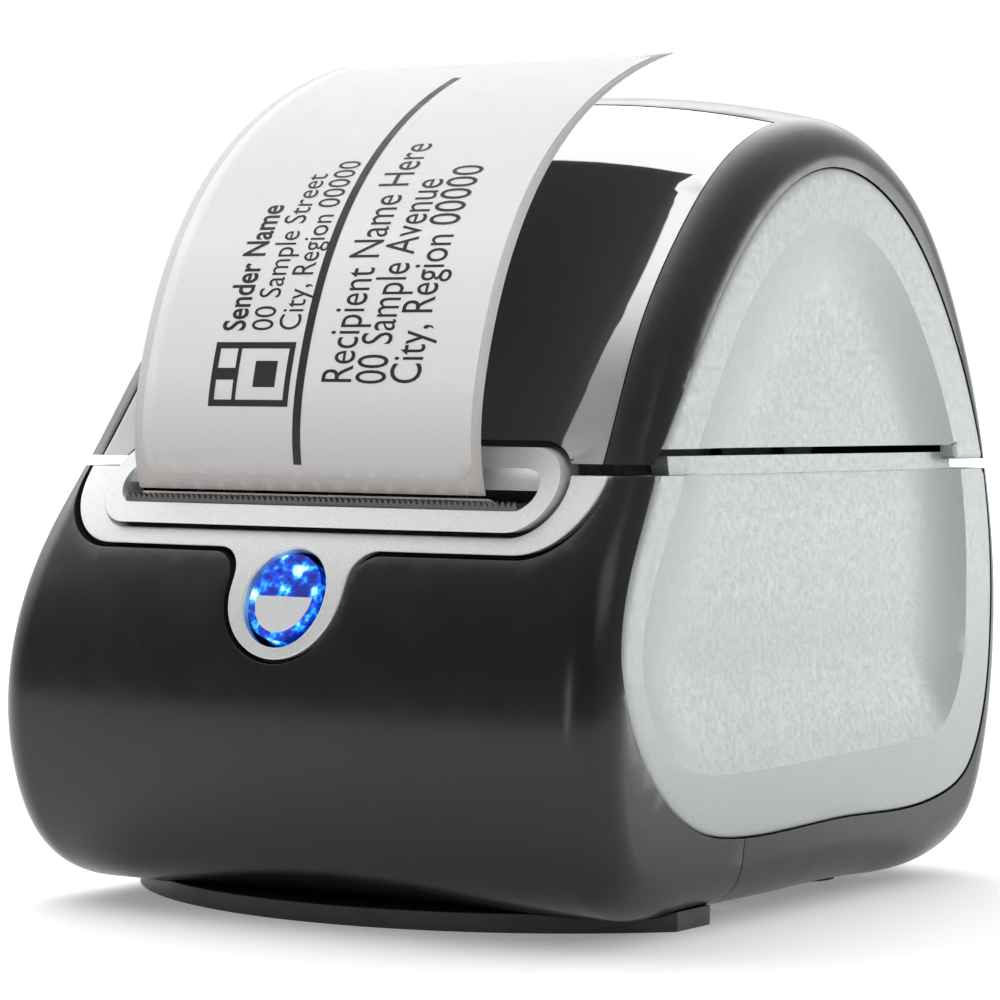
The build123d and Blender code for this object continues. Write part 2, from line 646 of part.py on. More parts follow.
def rubber_feet(outer):
    feet = [rod_z(x, 34, 0, 3.2, 7) - outer for x in (-36, 36)]
    return feet[0] + feet[1]


def main_board():
    board = block(-42, 42, -18, 60, BOARD_TOP - BOARD_T, BOARD_TOP)
    for x in (-37, 37):
        for y in (-13, 50):
            board = board - rod_z(x, y, 0, 30, 1.6)
    return solid(board)


def board_posts(cavity):
    posts = None
    for x in (-37, 37):
        for y in (-13, 50):
            post = (rod_z(x, y, 3, BOARD_TOP - BOARD_T, 3.4) & cavity) - rod_z(x, y, 7.5, 20, 1.05)
            posts = post if posts is None else posts + post
    return posts


def board_screws():
    group = None
    for x in (-37, 37):
        for y in (-13, 50):
            screw = rod_z(x, y, BOARD_TOP, BOARD_TOP + 1.8, 2.8) + rod_z(x, y, BOARD_TOP - 5, BOARD_TOP, 1.0)
            group = screw if group is None else group + screw
    return group


def board_chips():
    chips = block(-12, 4, 6, 22, BOARD_TOP, BOARD_TOP + 1.6)
    chips = chips + block(12, 22, 8, 20, BOARD_TOP, BOARD_TOP + 1.4)
    return chips + block(-30, -22, 0, 8, BOARD_TOP, BOARD_TOP + 1.2)


def capacitors():
    cans = rod_z(-30, 28, BOARD_TOP, BOARD_TOP + 12, 4.5)
    return cans + rod_z(-30, 40, BOARD_TOP, BOARD_TOP + 12, 4.5) + rod_z(32, 34, BOARD_TOP, BOARD_TOP + 9, 3.2)


def usb_socket():
    """Square data socket: a can with a tongue inside."""
    low = SOCKET_LOW
    can = block(USB_X - 6, USB_X + 6, 52, 68.4, low - 2.4, low + 11) - block(USB_X - 4.3, USB_X + 4.3, 56, 70, low + 0.4, low + 8.9)
    return solid(can + block(USB_X - 2.6, USB_X + 2.6, 55.9, 66.6, low + 3.3, low + 6.3))


def dc_jack():
    """Round power inlet with a centre pin."""
    low = SOCKET_LOW
    mid = low + 5.6
    body = block(JACK_X - 4.6, JACK_X + 4.6, 54, 68.4, low - 2.4, low + 11)
    bore = Pos(JACK_X, 64, mid) * Rot(90, 0, 0) * Cylinder(3.2, 14)
    pin = Pos(JACK_X, 62, mid) * Rot(90, 0, 0) * Cylinder(1.0, 10)
    return solid(body - bore + pin)


def base_screws():
    """Four screws up through the floor of the rear shell."""
    group = None
    for x in (-46, 46):
        for y in (-10, 44):
            screw = rod_z(x, y, FLOOR_Z + 0.4, FLOOR_Z + 1.6, 2.6)
            group = screw if group is None else group + screw
    return group


def build():
    os.makedirs("parts", exist_ok=True)
    outer = envelope()
    cavity = envelope(WALL, SIDE_WALL, 4.0)
    skin_out = envelope(0.1)
    skin_in = envelope(0.1 + PLATE_T)
    window_in = envelope(0.1 + WINDOW_T)
    proud = envelope(-RING_PROUD)

    base = base_shell(outer, cavity)
    nodes = {}
    nodes["base_front_shell"] = front_shell(base, envelope(0.2 + PLATE_T))
    screws = base_screws()
    rear = rear_shell(base)
    for screw in screws.solids():
        centre = screw.center()
        rear = rear - rod_z(centre.X, centre.Y, 0, FLOOR_Z + 1.6, 2.6)
    nodes["base_rear_shell"] = solid(rear)
    nodes["base_screws"] = screws
    for side, sign in (("right", 1), ("left", -1)):
        lower = flank_panel(outer & below(BASE_TOP), LOWER_PANEL, LOWER_DISH, sign)
        upper = flank_panel(outer & above(COVER_BOTTOM), UPPER_PANEL, UPPER_DISH, sign)
        rebate = flank_prism(LIP_INSET - 0.5) & block(-60, 60, -47, 63, COVER_BOTTOM - 1, LIP_TOP + 1.2)
        nodes["base_side_panel_" + side] = solid(lower)
        nodes["cover_side_panel_" + side] = solid(upper - rebate)
        nodes["joint_lip_" + side] = solid(gap_lip(sign))
        nodes["chassis_plate_" + side] = chassis_plate(sign)
        nodes["spool_cradle_" + side] = spool_cradle(sign)

    nodes["faceplate"] = faceplate(skin_out, skin_in)
    nodes["slot_ring"] = slot_ring(proud, cavity)
    nodes["slot_deflector"] = slot_deflector(cavity)
    nodes["tear_bar"] = tear_bar()
    nodes["pedestal_foot"] = pedestal_foot(outer)
    nodes["rubber_feet"] = rubber_feet(outer)

    nodes["cover_frame"] = cover_frame(outer, cavity, window_in)
    nodes["cover_window"] = cover_window(skin_out, envelope(WINDOW_T))
    nodes["cover_hinge_eyes"] = hinge_eyes(3.2, 9, True)
    nodes["base_hinge_eyes"] = hinge_eyes(0, 2.9, False)
    nodes["hinge_pins"] = sum_of([rod_x(x - 9.6, x + 9.6, HINGE_Y, HINGE_Z, HINGE_PIN_R) for x in (-26, 26)])
    nodes["latch_hooks"] = latch_hook(1) + latch_hook(-1)

    nodes["spool_spindle"] = spool_spindle()
    nodes["spool_guide_disc"] = spool_guide_disc()
    nodes["roll_core"] = roll_core()
    nodes["label_roll"] = label_roll()
    nodes["label_liner"] = label_liner()
    nodes["label_sticker"] = label_sticker()
    nodes["feed_web"] = feed_web()

    nodes["chassis_floor"] = chassis_floor(cavity)
    nodes["platen_bearings"] = platen_bearings()
    nodes["platen_shaft"] = platen_shaft()
    nodes["platen_rubber"] = platen_rubber()
    nodes["platen_gear"] = platen_gear()
    nodes["idler_gear"] = idler_gear()
    nodes["idler_pin"] = idler_pin()
    nodes["motor_can"] = motor_can()
    nodes["motor_shaft"] = motor_shaft()
    nodes["motor_pinion"] = motor_pinion()
    nodes["head_heatsink"] = head_heatsink()
    nodes["head_ceramic"] = head_ceramic()
    nodes["head_shaft"] = head_shaft()
    nodes["release_lever"] = release_lever()
    nodes["guide_rail"] = guide_rail()
    nodes["label_guide"] = label_guide()
    nodes["gap_sensor"] = gap_sensor()

    nodes["button_lens"] = button_lens()
    nodes["button_cap"] = button_cap()
    nodes["button_switch"] = button_switch()
    nodes["status_led"] = status_led()
    nodes["main_board"] = main_board()
    nodes["board_posts"] = board_posts(cavity)
    nodes["board_screws"] = board_screws()
    nodes["board_chips"] = board_chips()
    nodes["capacitors"] = capacitors()
    nodes["usb_socket"] = usb_socket()
    nodes["dc_jack"] = dc_jack()
    return nodes


def sum_of(shapes):
    total = shapes[0]
    for shape in shapes[1:]:
        total = total + shape
    return total


if __name__ == "__main__":
    for name, shape in build().items():
        export_step(shape, "parts/" + name + ".step")
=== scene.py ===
import json
import math

import bmesh
import bpy
import numpy as np
from mathutils import Matrix, Vector, geometry
from mathutils.bvhtree import BVHTree


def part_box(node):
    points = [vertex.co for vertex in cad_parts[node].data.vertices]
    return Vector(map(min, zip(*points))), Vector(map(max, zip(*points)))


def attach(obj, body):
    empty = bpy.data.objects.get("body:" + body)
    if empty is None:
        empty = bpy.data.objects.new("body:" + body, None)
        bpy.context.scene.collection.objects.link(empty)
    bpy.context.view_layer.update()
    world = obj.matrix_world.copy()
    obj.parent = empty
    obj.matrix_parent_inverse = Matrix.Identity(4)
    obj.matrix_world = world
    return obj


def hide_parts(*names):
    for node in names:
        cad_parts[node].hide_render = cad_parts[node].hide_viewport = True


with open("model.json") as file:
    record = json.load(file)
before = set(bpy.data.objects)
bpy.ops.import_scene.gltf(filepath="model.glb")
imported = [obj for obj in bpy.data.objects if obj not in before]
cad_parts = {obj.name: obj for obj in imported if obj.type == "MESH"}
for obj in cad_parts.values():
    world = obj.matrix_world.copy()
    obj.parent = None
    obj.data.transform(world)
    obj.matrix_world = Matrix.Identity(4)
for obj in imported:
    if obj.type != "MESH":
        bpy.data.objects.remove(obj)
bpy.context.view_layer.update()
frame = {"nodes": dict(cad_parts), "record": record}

MM = 0.001


# ---- camera ----------------------------------------------------------------------------------
AZIMUTH = math.radians(32.0)
PITCH = math.radians(1.5)
ROLL = math.radians(0.5)
FOCAL = 138.6
CAMERA_AT = Vector((0.3559, -0.5790, 0.0853))


def make_camera():
    """Long lens a little above the table, at the front right of the printer."""
    right = Vector((math.cos(AZIMUTH), math.sin(AZIMUTH), 0))
    level = math.cos(PITCH)
    ahead = Vector((-math.sin(AZIMUTH) * level, math.cos(AZIMUTH) * level, -math.sin(PITCH)))
    up = right.cross(ahead)
    tilted = right * math.cos(ROLL) + up * math.sin(ROLL)
    up = up * math.cos(ROLL) - right * math.sin(ROLL)
    data = bpy.data.cameras.new("camera")
    data.lens = FOCAL
    data.sensor_width = 36.0
    data.clip_start = 0.01
    data.clip_end = 20.0
    cam = bpy.data.objects.new("camera", data)
    bpy.context.collection.objects.link(cam)
    cam.matrix_world = Matrix((
        (tilted.x, up.x, -ahead.x, CAMERA_AT.x),
        (tilted.y, up.y, -ahead.y, CAMERA_AT.y),
        (tilted.z, up.z, -ahead.z, CAMERA_AT.z),
        (0, 0, 0, 1),
    ))
    bpy.context.scene.camera = cam


# ---- material helpers --------------------------------------------------------------------------
class Nodes:
    """Small wrapper that adds and joins nodes of one material."""

    def __init__(self, name):
        self.material = bpy.data.materials.new(name)
        self.material.use_nodes = True
        self.tree = self.material.node_tree
        self.tree.nodes.clear()
        self.out = self.add("ShaderNodeOutputMaterial")
        self.shader = self.add("ShaderNodeBsdfPrincipled")
        self.join(self.shader, "BSDF", self.out, "Surface")
        self.place = self.add("ShaderNodeTexCoord")

    def add(self, kind, **values):
        node = self.tree.nodes.new(kind)
        for key, value in values.items():
            setattr(node, key, value)
        return node

    def join(self, a, socket_a, b, socket_b):
        self.tree.links.new(a.outputs[socket_a], b.inputs[socket_b])

    def set(self, **values):
        for key, value in values.items():
            self.shader.inputs[key.replace("_", " ")].default_value = value

    def noise(self, scale, detail=2.0, roughness=0.5):
        node = self.add("ShaderNodeTexNoise")
        node.inputs["Scale"].default_value = scale
        node.inputs["Detail"].default_value = detail
        node.inputs["Roughness"].default_value = roughness
        self.join(self.place, "Object", node, "Vector")
        return node

    def voronoi(self, scale):
        node = self.add("ShaderNodeTexVoronoi")
        node.inputs["Scale"].default_value = scale
        self.join(self.place, "Object", node, "Vector")
        return node

    def spread(self, source, socket, low, high, from_low=0.3, from_high=0.7):
        node = self.add("ShaderNodeMapRange")
        node.inputs["From Min"].default_value = from_low
        node.inputs["From Max"].default_value = from_high
        node.inputs["To Min"].default_value = low
        node.inputs["To Max"].default_value = high
        self.join(source, socket, node, "Value")
        return node

    def ramp(self, source, socket, stops):
        node = self.add("ShaderNodeValToRGB")
        ramp = node.color_ramp
        while len(ramp.elements) < len(stops):
            ramp.elements.new(0.5)
        for element, (at, colour) in zip(ramp.elements, stops):
            element.position = at
            element.color = (*colour, 1)
        self.join(source, socket, node, "Fac")
        return node

    def bump(self, source, socket, strength, distance, under=None):
        node = self.add("ShaderNodeBump")
        node.inputs["Strength"].default_value = strength
        node.inputs["Distance"].default_value = distance
        self.join(source, socket, node, "Height")
        if under:
            self.join(under, "Normal", node, "Normal")
        return node

    def vary_roughness(self, scale, low, high):
        self.join(self.spread(self.noise(scale, 3), "Fac", low, high), "Result", self.shader, "Roughness")

    def finish(self, bump=None):
        if bump:
            self.join(bump, "Normal", self.shader, "Normal")
        return self.material


MOTTLE = 0.06


def plastic(name, colour, low, high, grain=1800.0, strength=0.08, specular=0.5):
    """Moulded plastic: a faint mottle in the colour, uneven gloss and a fine moulded grain."""
    n = Nodes(name)
    dark = tuple(c * (1 - MOTTLE) for c in colour)
    light = tuple(min(1.0, c * (1 + MOTTLE)) for c in colour)
    tint = n.ramp(n.noise(220, 3), "Fac", [(0.3, dark), (0.7, light)])
    n.join(tint, "Color", n.shader, "Base Color")
    n.set(Specular_IOR_Level=specular)
    n.vary_roughness(140, low, high)
    return n.finish(n.bump(n.noise(grain, 2), "Fac", strength, 0.00008))


def silver_sand(name, colour, grain_strength, low=0.40, high=0.50):
    """Silver paint over a sand texture: flake sparkle on two scales of grain."""
    n = Nodes(name)
    flake = n.noise(5200, 1)
    dark = tuple(c * 0.90 for c in colour)
    light = tuple(min(1.0, c * 1.08) for c in colour)
    n.join(n.ramp(flake, "Fac", [(0.35, dark), (0.65, light)]), "Color", n.shader, "Base Color")
    n.set(Metallic=0.45, Specular_IOR_Level=0.5)
    n.vary_roughness(900, low, high)
    coarse = n.bump(n.noise(1500, 3, 0.6), "Fac", grain_strength, 0.00012)
    return n.finish(n.bump(flake, "Fac", grain_strength * 0.6, 0.00004, coarse))


def smoked(name):
    """Smoked acrylic: nearly black body under a deep gloss."""
    n = Nodes(name)
    n.join(n.ramp(n.noise(60, 2), "Fac", [(0.3, (0.006, 0.006, 0.007)), (0.7, (0.010, 0.010, 0.012))]),
           "Color", n.shader, "Base Color")
    n.set(IOR=3.2)
    n.vary_roughness(40, 0.035, 0.06)
    return n.finish(n.bump(n.noise(24, 1), "Fac", 0.02, 0.0004))


LINES_ALONG_X = (0.05, 1, 1)


def metal(name, colour, low, high):
    """Rolled or turned metal with fine lines along one direction."""
    n = Nodes(name)
    mapping = n.add("ShaderNodeMapping")
    mapping.inputs["Scale"].default_value = LINES_ALONG_X
    n.join(n.place, "Object", mapping, "Vector")
    lines = n.add("ShaderNodeTexNoise")
    lines.inputs["Scale"].default_value = 900.0
    lines.inputs["Detail"].default_value = 3
    n.join(mapping, "Vector", lines, "Vector")
    dark = tuple(c * 0.85 for c in colour)
    n.join(n.ramp(lines, "Fac", [(0.3, dark), (0.7, colour)]), "Color", n.shader, "Base Color")
    n.set(Metallic=1.0)
    n.join(n.spread(lines, "Fac", low, high), "Result", n.shader, "Roughness")
    return n.finish(n.bump(lines, "Fac", 0.1, 0.00005))


# heights over which the painted shade runs up the label
LABEL_SHADE_HEIGHTS = (0.070, 0.145)


def paper(name, colour, mottle=0.04, foot=None):
    """Coated paper: faint fibre mottle and a soft tooth. With foot, painted shade darkens the label towards
    the slot at its foot and towards its top.
    """
    n = Nodes(name)
    dark = tuple(c * (1 - mottle) for c in colour)
    fibre = n.noise(1400, 4, 0.65)
    tint = n.ramp(fibre, "Fac", [(0.3, dark), (0.7, colour)])
    if foot:
        # painted shade: the colour is multiplied by a ramp over height, darkest at the foot by the slot,
        # unshaded in the middle and darker again at the top
        split = n.add("ShaderNodeSeparateXYZ")
        n.join(n.place, "Object", split, "Vector")
        rise = n.spread(split, "Z", 0.0, 1.0, *LABEL_SHADE_HEIGHTS)
        shade = n.ramp(rise, "Result", [(0.0, foot), (0.25, (0.84, 0.84, 0.84)), (0.56, (1.0, 1.0, 1.0)),
                                        (0.80, (0.84, 0.845, 0.85)), (1.0, (0.70, 0.705, 0.71))])
        mix = n.add("ShaderNodeMix", data_type="RGBA", blend_type="MULTIPLY")
        mix.inputs["Factor"].default_value = 1.0
        # a colour mix keeps its colours in sockets 6 and 7 and its colour result in output 2
        n.tree.links.new(tint.outputs["Color"], mix.inputs[6])
        n.tree.links.new(shade.outputs["Color"], mix.inputs[7])
        n.tree.links.new(mix.outputs[2], n.shader.inputs["Base Color"])
    else:
        n.join(tint, "Color", n.shader, "Base Color")
    n.vary_roughness(500, 0.55, 0.68)
    return n.finish(n.bump(fibre, "Fac", 0.12, 0.00004))


def glowing_lens(name):
    """Blue tinted lens, lit from behind: bright cyan caustic patches in deep blue."""
    n = Nodes(name)
    cells = n.voronoi(420)
    patches = n.noise(330, 3, 0.6)
    colour = n.ramp(patches, "Fac", [(0.40, (0.002, 0.012, 0.20)), (0.50, (0.003, 0.05, 0.55)),
                                     (0.57, (0.01, 0.38, 0.90)), (0.66, (0.55, 0.97, 1.0))])
    n.join(colour, "Color", n.shader, "Base Color")
    n.join(colour, "Color", n.shader, "Emission Color")
    n.set(Emission_Strength=0.9, Coat_Weight=1.0, Coat_Roughness=0.02)
    n.vary_roughness(300, 0.05, 0.12)
    return n.finish(n.bump(cells, "Distance", 0.25, 0.0003))


def circuit_board(name):
    """Green solder mask with a cell pattern."""
    n = Nodes(name)
    n.join(n.ramp(n.voronoi(260), "Distance", [(0.2, (0.008, 0.07, 0.03)), (0.5, (0.015, 0.13, 0.05))]),
           "Color", n.shader, "Base Color")
    n.vary_roughness(300, 0.25, 0.4)
    return n.finish(n.bump(n.noise(700, 2), "Fac", 0.1, 0.00005))


BLACK = plastic("black_gloss", (0.009, 0.009, 0.0095), 0.20, 0.28, 1500, 0.035, specular=0.4)
BLACK_MATT = plastic("black_matt", (0.022, 0.022, 0.023), 0.42, 0.55, 1300, 0.2)
RIM_SILVER = silver_sand("silver_satin", (0.42, 0.445, 0.45), 0.10)
DISH_SILVER = silver_sand("silver_sand", (0.33, 0.352, 0.355), 0.42, 0.32, 0.42)
BRIGHT = silver_sand("silver_bright", (0.74, 0.76, 0.75), 0.12)
SMOKED = smoked("smoked_window")
BAR_STEEL = metal("bar_steel", (0.15, 0.15, 0.145), 0.25, 0.4)
RUBBER = plastic("rubber", (0.018, 0.018, 0.018), 0.6, 0.75, 900, 0.3)
STEEL = metal("steel", (0.56, 0.57, 0.58), 0.22, 0.34)
ALUMINIUM = metal("aluminium", (0.74, 0.75, 0.76), 0.28, 0.4)
GEAR = plastic("gear_white", (0.74, 0.73, 0.68), 0.35, 0.45)
CERAMIC = plastic("ceramic", (0.62, 0.60, 0.52), 0.12, 0.2)
LEVER = plastic("lever_blue", (0.02, 0.10, 0.42), 0.3, 0.4)
BOARD = circuit_board("board_green")
LINER = paper("liner_paper", (0.74, 0.73, 0.71), 0.04)
# painted shade: the liner's face darkens towards the slot and towards its top
LINER_FACE_PAINTED_SHADE = paper("liner_face", (0.74, 0.73, 0.72), 0.03, (0.56, 0.52, 0.505))
# painted shade: the liner's back is coloured dark to stand for the shade on the underside of the curled
# label
PAINTED_SHADE_LINER_BACK = paper("liner_back_painted_shade", (0.30, 0.285, 0.27), 0.05)
LABEL = paper("label_white", (0.86, 0.865, 0.87), 0.03)
# painted shade: the label's face darkens towards the slot and towards its top
LABEL_FACE_PAINTED_SHADE = paper("label_face", (0.93, 0.935, 0.94), 0.02, (0.48, 0.455, 0.445))
INK = paper("label_ink", (0.012, 0.012, 0.013))
LENS = glowing_lens("blue_lens")

SLOT_MATERIAL = {
    "black_gloss": BLACK, "silver_satin": RIM_SILVER, "silver_bright": BRIGHT, "smoked_window": SMOKED,
    "black_matt": BLACK_MATT, "rubber": RUBBER, "steel": STEEL, "aluminium": ALUMINIUM, "gear_white": GEAR,
    "ceramic": CERAMIC, "lever_blue": LEVER, "board_green": BOARD, "liner_paper": LINER,
    "label_white": LABEL, "blue_lens": LENS,
}
NODE_SLOT = {entry["node"]: entry["material_slot"] for entry in frame["record"]["subparts"]}
BODY_OF = {}
for body_name, members in frame["record"]["behaviour"]["bodies"].items():
    for member in members:
        BODY_OF[member] = body_name


def paint_frame():
    """Every CAD node takes the material of its slot."""
    for node, obj in frame["nodes"].items():
        obj.data.materials.clear()
        obj.data.materials.append(BAR_STEEL if node == "tear_bar" else SLOT_MATERIAL[NODE_SLOT[node]])


# ---- mesh helpers --------------------------------------------------------------------------------
def new_object(name, mesh, material, body):
    """A visible piece that rides on a body and takes the material it is given."""
    obj = bpy.data.objects.new(name, mesh)
    bpy.context.collection.objects.link(obj)
    obj.data.materials.clear()
    obj.data.materials.append(material)
    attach(obj, body)
    return obj


def welded_copy(node):
    """bmesh of a CAD node with its seams joined."""
    bm = bmesh.new()
    bm.from_mesh(frame["nodes"][node].data)
    bmesh.ops.remove_doubles(bm, verts=bm.verts, dist=2e-6)
    return bm


def mesh_from(bm, name, smooth_deg=30):
    """Mesh of a bmesh, smooth apart from edges sharper than smooth_deg. The bmesh is freed."""
    mesh = bpy.data.meshes.new(name)
    bm.to_mesh(mesh)
    bm.free()
    mesh.polygons.foreach_set("use_smooth", [True] * len(mesh.polygons))
    mesh.set_sharp_from_angle(angle=math.radians(smooth_deg))
    return mesh


def softened(node, name, width, segments=3):
    """The CAD node again with its sharp edges rounded."""
    mesh = mesh_from(welded_copy(node), name)
    slot = NODE_SLOT[node]
    obj = new_object(name, mesh, SLOT_MATERIAL[slot], BODY_OF[node])
    bevel = obj.modifiers.new("edge", "BEVEL")
    bevel.width = width
    bevel.segments = segments
    bevel.limit_method = "ANGLE"
    bevel.angle_limit = math.radians(35)
    bevel.harden_normals = True
    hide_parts(node)


paint_frame()
make_camera()
bpy.context.scene.view_settings.view_transform = "Standard"


# ---- flank panels ----------------------------------------------------------------------------------
CAD_DISH_DEPTH = 2.6 * MM
BOWL_DEPTH = 3.6 * MM
BOWL_REACH = 19.0 * MM
PANEL_STEP = 1.5 * MM
EDGE_ROUND = 0.7 * MM
SKIRT = 2.4 * MM


def facing_islands(bm, sign):
    """Groups of joined faces that look straight out of the flank, largest first."""
    facing = {f for f in bm.faces if f.normal.x * sign > 0.8}
    islands = []
    while facing:
        stack = [facing.pop()]
        island = set(stack)
        while stack:
            for edge in stack.pop().edges:
                for other in edge.link_faces:
                    if other in facing:
                        facing.discard(other)
                        island.add(other)
                        stack.append(other)
        islands.append(island)
    return sorted(islands, key=lambda isle: -sum(f.calc_area() for f in isle))[:2]


def border(island):
    """The ordered outline of a group of faces, in (Y, Z)."""
    ahead = {}
    for face in island:
        for loop in face.loops:
            if sum(g in island for g in loop.edge.link_faces) == 1:
                ahead[loop.vert] = loop.link_loop_next.vert
    start = next(iter(ahead))
    chain = [start]
    while ahead[chain[-1]] is not start:
        chain.append(ahead[chain[-1]])
    return np.array([(v.co.y, v.co.z) for v in chain])


def evened(line, step, closed):
    """The same line with points at an even spacing."""
    ends = np.vstack([line, line[:1]]) if closed else line
    run = np.concatenate([[0], np.cumsum(np.hypot(*np.diff(ends, axis=0).T))])
    count = max(4, int(run[-1] / step))
    at = np.linspace(0, run[-1], count + 1)
    if closed:
        at = at[:-1]
    return np.column_stack([np.interp(at, run, ends[:, 0]), np.interp(at, run, ends[:, 1])])


def arch_between(line, split, low_y, high_y):
    """The part of an outline that leaves the split edge at low_y and comes back to it at high_y."""
    first = int(np.argmin(np.hypot(line[:, 0] - low_y, line[:, 1] - split)))
    turned = np.roll(line, -first, axis=0)
    last = int(np.argmin(np.hypot(turned[:, 0] - high_y, turned[:, 1] - split)))
    one, other = turned[:last + 1], np.vstack([turned[last:], turned[:1]])
    reach_one, reach_other = np.abs(one[:, 1] - split).max(), np.abs(other[:, 1] - split).max()
    return evened(one if reach_one > reach_other else other, 1.0 * MM, False)


def distance_to(points, line):
    """Shortest distance from each point to a dense line."""
    out = np.full(len(points), 1.0)
    for k in range(0, len(line), 64):
        gap = points[:, None, :] - line[None, k:k + 64, :]
        out = np.minimum(out, np.sqrt((gap ** 2).sum(axis=2)).min(axis=1))
    return out


def inside(points, polygon):
    """Which points lie inside a closed outline."""
    hit = np.zeros(len(points), bool)
    x, y = points[:, 0], points[:, 1]
    for (xa, ya), (xb, yb) in zip(polygon, np.roll(polygon, -1, axis=0)):
        if ya != yb:
            crosses = (ya > y) != (yb > y)
            hit ^= crosses & (x < xa + (y - ya) * (xb - xa) / (yb - ya))
    return hit


def inset_rows(line, gaps, polygon):
    """Rows of points a few small gaps inside a line."""
    step = np.gradient(line, axis=0)
    step /= np.hypot(*step.T)[:, None] + 1e-12
    across = np.column_stack([-step[:, 1], step[:, 0]])
    middle = line[len(line) // 2] + across[len(line) // 2] * 0.4 * MM
    if not inside(middle[None, :], polygon)[0]:
        across = -across
    rows = np.vstack([line[1:-1] + across[1:-1] * gap for gap in gaps])
    return rows[inside(rows, polygon)]


def flank_surface(rim_faces, dish_faces, sign):
    """Smooth surface X(Y, Z) through the outer faces of the rim and over the flat CAD recess."""
    rim = [v.co for f in rim_faces for v in f.verts]
    over = Vector((sign * CAD_DISH_DEPTH, 0, 0))
    points = np.array(rim + [v.co + over for f in dish_faces for v in f.verts])
    y, z = points[:, 1] * 10, points[:, 2] * 10
    terms = [(i, j) for i in range(5) for j in range(5 - i)]
    matrix = np.column_stack([y ** i * z ** j for i, j in terms])
    factors = np.linalg.lstsq(matrix, points[:, 0], rcond=None)[0]
    return lambda p: sum(c * (p[:, 0] * 10) ** i * (p[:, 1] * 10) ** j for c, (i, j) in zip(factors, terms))


def ends_on(line, split):
    """Lowest and highest Y of the points of an outline that lie on the split line."""
    near = line[np.abs(line[:, 1] - split) < 0.15 * MM]
    return near[:, 0].min(), near[:, 0].max()


def straight_between(a, b, count):
    """Points between two ends, without the ends."""
    return np.column_stack([np.linspace(a[0], b[0], count)[1:-1], np.linspace(a[1], b[1], count)[1:-1]])


def dished_panel(node, sign):
    """Flank panel: a satin rim with a rounded edge round a sand-textured bowl."""
    bm = welded_copy(node)
    bm.normal_update()
    islands = facing_islands(bm, sign)
    borders = [border(isle) for isle in islands]
    widths = [np.ptp(line[:, 0]) for line in borders]
    rim, dish = (0, 1) if widths[0] > widths[1] else (1, 0)
    surface = flank_surface(islands[rim], islands[dish], sign)
    zs = borders[dish][:, 1]
    split = zs.max() if node.startswith("base") else zs.min()
    inner = arch_between(borders[dish], split, *ends_on(borders[dish], split))
    outer = arch_between(borders[rim], split, *ends_on(borders[rim], split))
    bm.free()

    hull = np.vstack([outer, straight_between(outer[-1], outer[0], 100)])
    bowl = np.vstack([inner, straight_between(inner[-1], inner[0], 80)])
    lo, hi = hull.min(axis=0), hull.max(axis=0)
    ys, zs = np.meshgrid(np.arange(lo[0], hi[0], PANEL_STEP), np.arange(lo[1], hi[1], PANEL_STEP))
    grid = np.column_stack([ys.ravel(), zs.ravel()])
    grid = grid[inside(grid, hull)]
    dense_inner = evened(inner, 0.25 * MM, False)
    dense_hull = evened(hull, 0.25 * MM, True)
    grid = grid[(distance_to(grid, dense_hull) > 1.1 * MM) & (distance_to(grid, dense_inner) > 0.9 * MM)]
    rows = inset_rows(outer, (0.12 * MM, 0.3 * MM, 0.7 * MM), hull)
    rows = rows[distance_to(rows, dense_hull) > 0.08 * MM]
    flat = np.vstack([hull, inner, rows, grid])
    n_hull, n_in = len(hull), len(inner)
    edges = [(i, (i + 1) % n_hull) for i in range(n_hull)]
    edges += [(n_hull + i, n_hull + i + 1) for i in range(n_in - 1)]
    made = geometry.delaunay_2d_cdt([Vector(p) for p in flat], edges, [], 1, 1e-6)
    points = np.array([tuple(p) for p in made[0]])
    faces = made[2]

    height = surface(points) * sign
    drop = np.clip(EDGE_ROUND - distance_to(points, evened(outer, 0.25 * MM, False)), 0, EDGE_ROUND)
    height -= EDGE_ROUND - np.sqrt(EDGE_ROUND ** 2 - drop ** 2)
    in_bowl = inside(points, bowl) | (distance_to(points, evened(bowl, 0.25 * MM, True)) < 0.15 * MM)
    t = np.clip(distance_to(points, dense_inner) / BOWL_REACH, 0, 1)
    height -= np.where(in_bowl, BOWL_DEPTH * (1 - (1 - t) ** 2.1), 0)

    out = bmesh.new()
    verts = [out.verts.new((sign * h, p[0], p[1])) for p, h in zip(points, height)]
    dished = inside(np.array([points[list(f)].mean(axis=0) for f in faces]), bowl)
    for face, flag in zip(faces, dished):
        made_face = out.faces.new([verts[k] for k in face])
        made_face.material_index = 1 if flag else 0
    bmesh.ops.recalc_face_normals(out, faces=out.faces)
    if sum(f.normal.x * f.calc_area() for f in out.faces) * sign < 0:
        bmesh.ops.reverse_faces(out, faces=out.faces)
    open_edges = [e for e in out.edges if len(e.link_faces) == 1]
    for item in bmesh.ops.extrude_edge_only(out, edges=open_edges)["geom"]:
        if isinstance(item, bmesh.types.BMVert):
            item.co.x -= sign * SKIRT
    mesh = mesh_from(out, node + "_bowl", 17)
    obj = new_object(node + "_bowl", mesh, RIM_SILVER, BODY_OF[node])
    mesh.materials.append(DISH_SILVER)
    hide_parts(node)


def make_panels():
    for shell in ("base", "cover"):
        dished_panel(shell + "_side_panel_right", 1)
        dished_panel(shell + "_side_panel_left", -1)


make_panels()

# ---- rounded edges on the parts that show -------------------------------------------------------------
softened("base_front_shell", "front_shell_round", 0.35 * MM)
softened("cover_frame", "cover_frame_round", 0.35 * MM)
softened("cover_window", "window_round", 0.3 * MM)
softened("faceplate", "faceplate_round", 0.4 * MM)
softened("slot_ring", "slot_ring_round", 0.7 * MM, segments=4)
softened("pedestal_foot", "pedestal_round", 0.4 * MM)


# ---- label ------------------------------------------------------------------------------------------
LABEL_STEPS = 90
FIRST_RAY = 186
LAST_RAY = 92


